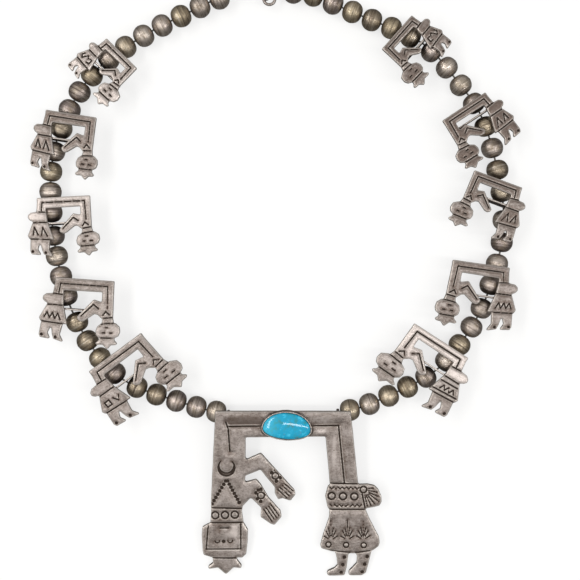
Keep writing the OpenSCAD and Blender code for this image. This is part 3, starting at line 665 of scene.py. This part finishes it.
# which way each figure's bar points, in degrees, and how much painted shade its bar and its feet take
# for how each plate lies to the light; below 0 it is a painted highlight
FIGURES = {
    "figure_left_1": (-52, -0.4, -0.8),
    "figure_left_2": (5, 0.45, 0.0),
    "figure_left_3": (6, -0.95, -0.2),
    "figure_left_4": (12, 0.0, -0.45),
    "figure_left_5": (31, -0.1, -0.1),
    "figure_right_1": (52, 0.65, 0.35),
    "figure_right_2": (0, 1.0, 0.8),
    "figure_right_3": (-9, 0.55, 0.1),
    "figure_right_4": (-5, 0.3, 0.15),
    "figure_right_5": (-30, -1.5, 0.0)}
MOST_SOILED_AND_SHADED = 1.0
LINES_KEPT = 1.6


def soiled_and_shaded(grime, more):
    """The darkness with more added, and less where more is below 0: painted shade and tarnish,
    and below 0 a painted highlight. Chiselled lines keep their dark.
    """
    darker = np.maximum(grime, np.minimum(grime + more, MOST_SOILED_AND_SHADED))
    paler = grime + more * (1 - np.clip(grime / LINES_KEPT, 0, 1) ** 3)
    return np.where(more > 0, darker, paler)


for seed, (node, (angle, bar_painted_shade, foot_painted_shade)) in enumerate(FIGURES.items()):
    figure = cast(node, "cast_" + node, cast_silver, grain=0.2, rounds=3, triangles=36000, angle=angle,
                  seed=seed + 1, edge=(1.5, 0.42), dish=(0.9, 0.14))
    # painted shade, below 0 a painted highlight, passing from each figure's bar to its feet
    down = read_out(figure.data.attributes["drawn"].data, "vector")[:, 1]
    share = ((down.max() - down) / (down.max() - down.min())) ** 0.7
    grime = read_out(figure.data.attributes["grimy"].data, "value", 1)[:, 0]
    write_out(figure.data, "grimy", soiled_and_shaded(grime, bar_painted_shade + (foot_painted_shade - bar_painted_shade) * share))

# The main pendant: the largest rainbow figure, cast in one piece and stamped all over, with the bezel for
# the stone and two drilled lugs soldered to its bar. The bar's outer flank slopes down to its groove.
pendant = cast("main_pendant", "cast_main_pendant", cast_silver, grain=0.22, rounds=3, triangles=150000,
               angle=0, seed=20, edge=(1.7, 0.5), dish=(1.6, 0.26))

# places on the pendant are shares of its whole width and height, from its upper left corner
BAR_GROOVE = [(0.165, 0.24), (0.159, 0.103), (0.156, 0.089), (0.764, 0.09), (0.794, 0.435)]
FLANK_WIDTH = 3.4 * MM
FLANK_DEPTH = 0.45 * MM
# painted shade and tarnish on the bar's outer flank, which slopes away from the light
FLANK_SHADE_AND_TARNISH = 0.15
STONE_REACH = (0.17, 0.10)
DARKER_ROUND_STONE = 0.62  # how much darker brown the silver is made round the stone
MOST_GRIME_AND_SHADE = 2.2
LESS_AT_STONE = 1.9
WEAR_AT_STONE = 1.1

# darker patches of painted shade and tarnish, and paler ones, painted glints, where the depth is below 0:
# across, down, reach across, reach down, depth
SHADE_GLINT_AND_TARNISH_PATCHES = [
    (0.235, 0.055, 0.115, 0.032, 0.85),
    (0.11, 0.22, 0.03, 0.12, 0.25),
    (0.70, 0.05, 0.06, 0.03, -0.35),
    (0.66, 0.125, 0.035, 0.016, -0.7),
    (0.735, 0.25, 0.016, 0.12, -0.45),
    (0.80, 0.3, 0.03, 0.13, 0.3),
    (0.4, 0.42, 0.09, 0.12, 0.35),
    (0.16, 0.5, 0.05, 0.06, -0.35),
    (0.16, 0.78, 0.06, 0.05, -0.4),
    (0.09, 0.70, 0.03, 0.06, 0.6),
    (0.19, 0.70, 0.04, 0.06, -0.6),
    (0.83, 0.71, 0.06, 0.04, 0.2),
    (0.79, 0.8, 0.12, 0.02, -0.25)]


def from_line(points, line):
    """How far each point lies from a line through a few corners, and whether it is outside its bend."""
    least = np.full(len(points), np.inf)
    inside = np.zeros(len(points), bool)
    corners = [np.array(corner) for corner in line]
    for i, a in enumerate(corners):
        b = corners[(i + 1) % len(corners)]
        reach = b - a
        beside = (a[1] > points[:, 1]) != (b[1] > points[:, 1])
        crossing = a[0] + (points[:, 1] - a[1]) * reach[0] / (reach[1] + 1e-12)
        inside ^= beside & (points[:, 0] < crossing)
        if i + 1 < len(corners):
            along = np.clip((points - a) @ reach / (reach @ reach), 0, 1)
            least = np.minimum(least, np.linalg.norm(points - a - along[:, None] * reach, axis=1))
    return least, ~inside


low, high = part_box("main_pendant")
size = np.array((high.x - low.x, high.y - low.y))
place = read_out(pendant.data.vertices, "co")
normals = read_out(pendant.data.vertices, "normal")
flat = np.stack((place[:, 0] - low.x, high.y - place[:, 1]), 1)
grime = read_out(pendant.data.attributes["grimy"].data, "value", 1)[:, 0]
# painted shade, tarnish and painted glints in patches
for across, down, reach_across, reach_down, depth in SHADE_GLINT_AND_TARNISH_PATCHES:
    away = (flat / size - (across, down)) / (reach_across, reach_down)
    grime = soiled_and_shaded(grime, depth * np.exp(-((away ** 2).sum(1)) ** 2))
stone_low, stone_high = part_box("turquoise")
stone_middle = (stone_low + stone_high) / 2
stone_at = np.array((stone_middle.x - low.x, high.y - stone_middle.y))
near_stone = np.exp(-(((flat - stone_at) / size / STONE_REACH) ** 2).sum(1) ** 2)
# darker brown round the stone, with a lower cap on the darkness close to it
grime = np.minimum(grime + DARKER_ROUND_STONE * near_stone, MOST_GRIME_AND_SHADE - LESS_AT_STONE * near_stone)
aside, outer = from_line(flat, [(x * size[0], y * size[1]) for x, y in BAR_GROOVE])
faces_up = np.clip(normals[:, 2] * 2 - 1, 0, 1)
flank = np.clip(1 - aside / FLANK_WIDTH, 0, 1) * outer * (1 - near_stone) * faces_up
place[:, 2] -= FLANK_DEPTH * flank
pendant.data.vertices.foreach_set("co", place.ravel())
pendant_wear_and_shade = read_out(pendant.data.attributes["worn"].data, "value", 1)[:, 0]
# painted shade and tarnish on the flank
write_out(pendant.data, "grimy", grime + FLANK_SHADE_AND_TARNISH * flank)
write_out(pendant.data, "worn", np.maximum(pendant_wear_and_shade, WEAR_AT_STONE * near_stone - 1))

# The stone: one natural turquoise cabochon, domed and polished, held in the bezel with a little room round
# it. It is fuller above its long axis than below it, paler at its left end, and spotted with grey matrix.
STONE_LENGTH = 20.4
STONE_UP = 7.3
STONE_DOWN = 4.1
STONE_HEIGHT = 3.3
STONE_GIRDLE = 0.3 * STONE_HEIGHT
STONE_ROOM = 0.1 * MM
STONE_TURN = -4  # degrees
STONE_WAVES = 0.012


def least_corner(places):
    return Vector([min(place[axis] for place in places) for axis in range(3)])


stone_shape = bmesh.new()
bmesh.ops.create_uvsphere(stone_shape, u_segments=128, v_segments=60, radius=1.0)
for vert in stone_shape.verts:
    x, y, z = vert.co
    swell = 1 + STONE_WAVES * noise.noise(vert.co * 1.6)
    if z > 0:
        height = STONE_GIRDLE + (STONE_HEIGHT - STONE_GIRDLE) * z * swell
    else:
        height = STONE_GIRDLE * max(0, 1 + 10 * z)
    vert.co = Vector((x * STONE_LENGTH / 2, y * (STONE_UP if y > 0 else STONE_DOWN), height)) * MM
turn = Matrix.Rotation(math.radians(STONE_TURN), 3, "Z")
bmesh.ops.rotate(stone_shape, verts=stone_shape.verts, matrix=turn)

# the pendant lies a little tilted, and the stone with it: its base is the largest face of the CAD stone
cad_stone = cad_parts["turquoise"].data
base = max(cad_stone.polygons, key=lambda polygon: polygon.area)
upright = (-base.normal).rotation_difference(Vector((0, 0, 1)))
cad_corner = least_corner([upright @ vert.co for vert in cad_stone.vertices])
stone_corner = least_corner([vert.co for vert in stone_shape.verts])
shift = cad_corner + Vector([STONE_ROOM] * 3) - stone_corner
bmesh.ops.translate(stone_shape, verts=stone_shape.verts, vec=shift)
bmesh.ops.rotate(stone_shape, verts=stone_shape.verts, matrix=upright.inverted().to_matrix())
stone = placed("turquoise_cabochon", stone_shape, smooth=True)

turquoise = Finish("turquoise")
stone_place = turquoise.stretched(turquoise.object_place(), (1000.0, 1000.0, 1000.0))
veins = turquoise.grains(stone_place, 0.3, 4.0, 0.6)
spots = turquoise.step(turquoise.grains(stone_place, 0.55, 4.0, 0.65), 0.56, 0.72)
across_stone = turquoise.node("SeparateXYZ", {}, {"Vector": stone_place})
stone_skin = turquoise.blend(turquoise.step(veins, 0.52, 0.68), tone(4, 155, 192), tone(40, 140, 150))
stone_skin = turquoise.blend(0.8 * turquoise.step(veins, 0.50, 0.38), stone_skin, tone(66, 194, 226))
stone_skin = turquoise.blend(0.5 * turquoise.step(across_stone, 3.0, -5.0), stone_skin, tone(78, 196, 224))
stone_skin = turquoise.blend(0.5 * spots, stone_skin, tone(96, 110, 128))
stone.data.materials.append(turquoise.surface({
    "Base Color": stone_skin, "Roughness": 0.30 + 0.2 * spots, "Coat Weight": 1.0, "Coat Roughness": 0.07,
    "Specular IOR Level": 0.0}))
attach(stone, "root")
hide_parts("turquoise")

# The clasp: a round eye on the left end of the string and a bent wire hook on the right, plain silver,
# each with a short neck that takes the string.
clasp_silver = silver_finish("clasp_silver", 0.3)
for seed, node in enumerate(("eye_ring", "hook")):
    wire = cast(node, "clasp_" + node, clasp_silver, grain=0.12, rounds=4, triangles=12000, angle=0,
                seed=40 + seed)

low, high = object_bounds()
